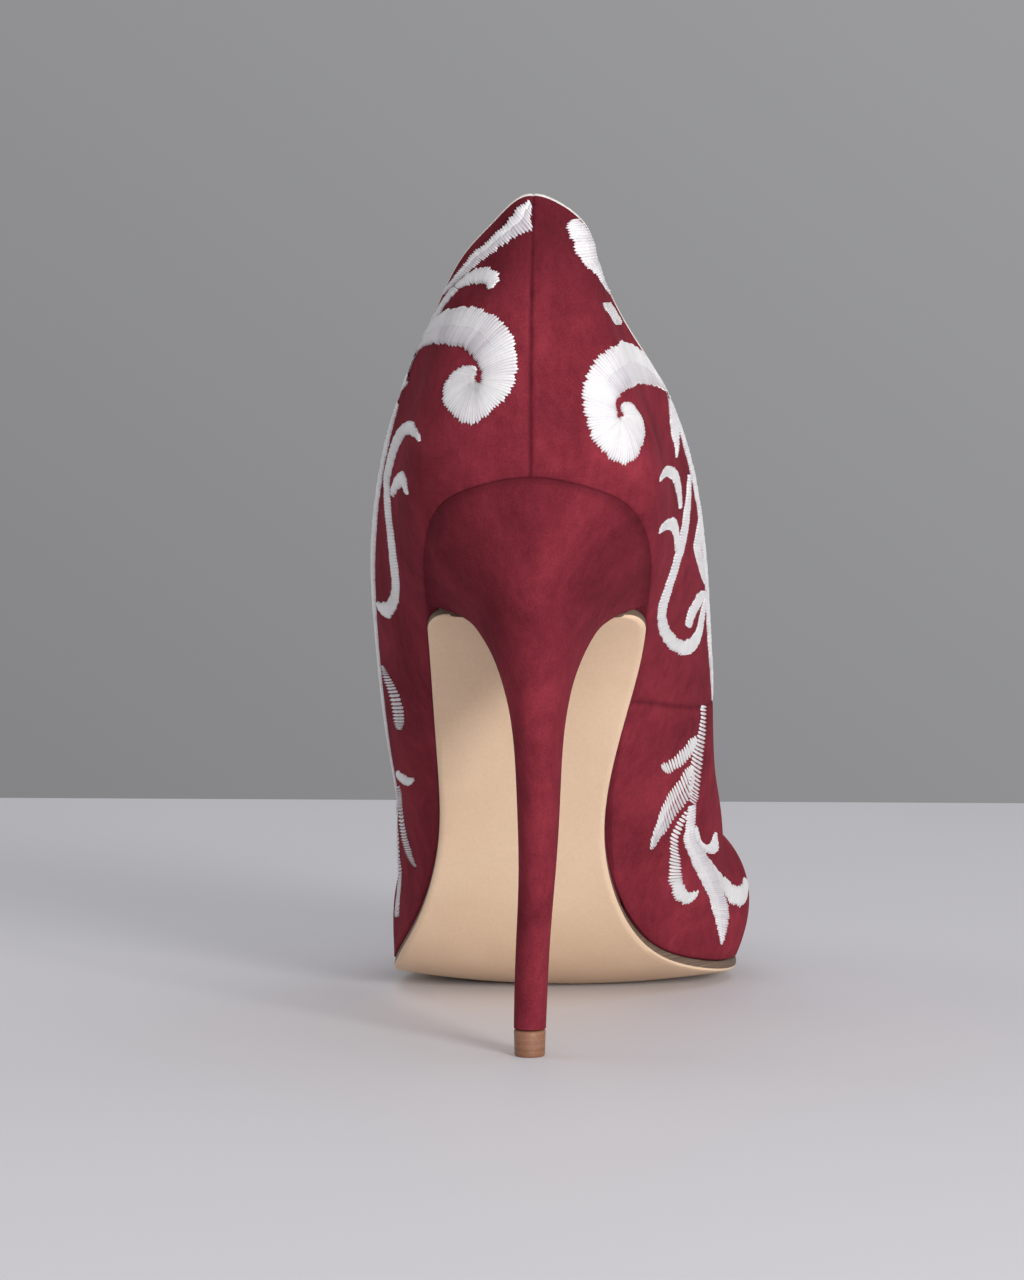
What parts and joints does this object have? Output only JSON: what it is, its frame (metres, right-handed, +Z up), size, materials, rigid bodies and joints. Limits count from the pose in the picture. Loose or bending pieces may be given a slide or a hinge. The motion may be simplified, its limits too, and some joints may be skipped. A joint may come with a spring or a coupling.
{
  "type": "pump",
  "caption": "Left burgundy suede pump with a pointed toe, a tall covered needle heel, a thin tan leather sole and scroll embroidery in pale thread.",
  "frame": {"origin": "middle of the heel tip's face on the floor", "axes": "+Z up, +Y towards the toe, +X towards the medial side of this left shoe"},
  "size_m": [0.0824, 0.2128, 0.177],
  "materials": {
    "burgundy_suede": "matt napped suede",
    "tan_sole_leather": "satin",
    "pale_insole_leather": "satin",
    "brown_tip": "satin"
  },
  "bodies": {
    "root": {"upper": "burgundy_suede", "heel": "burgundy_suede", "outsole": "tan_sole_leather", "insole": "pale_insole_leather", "heel_tip": "brown_tip"}
  },
  "joints": []
}
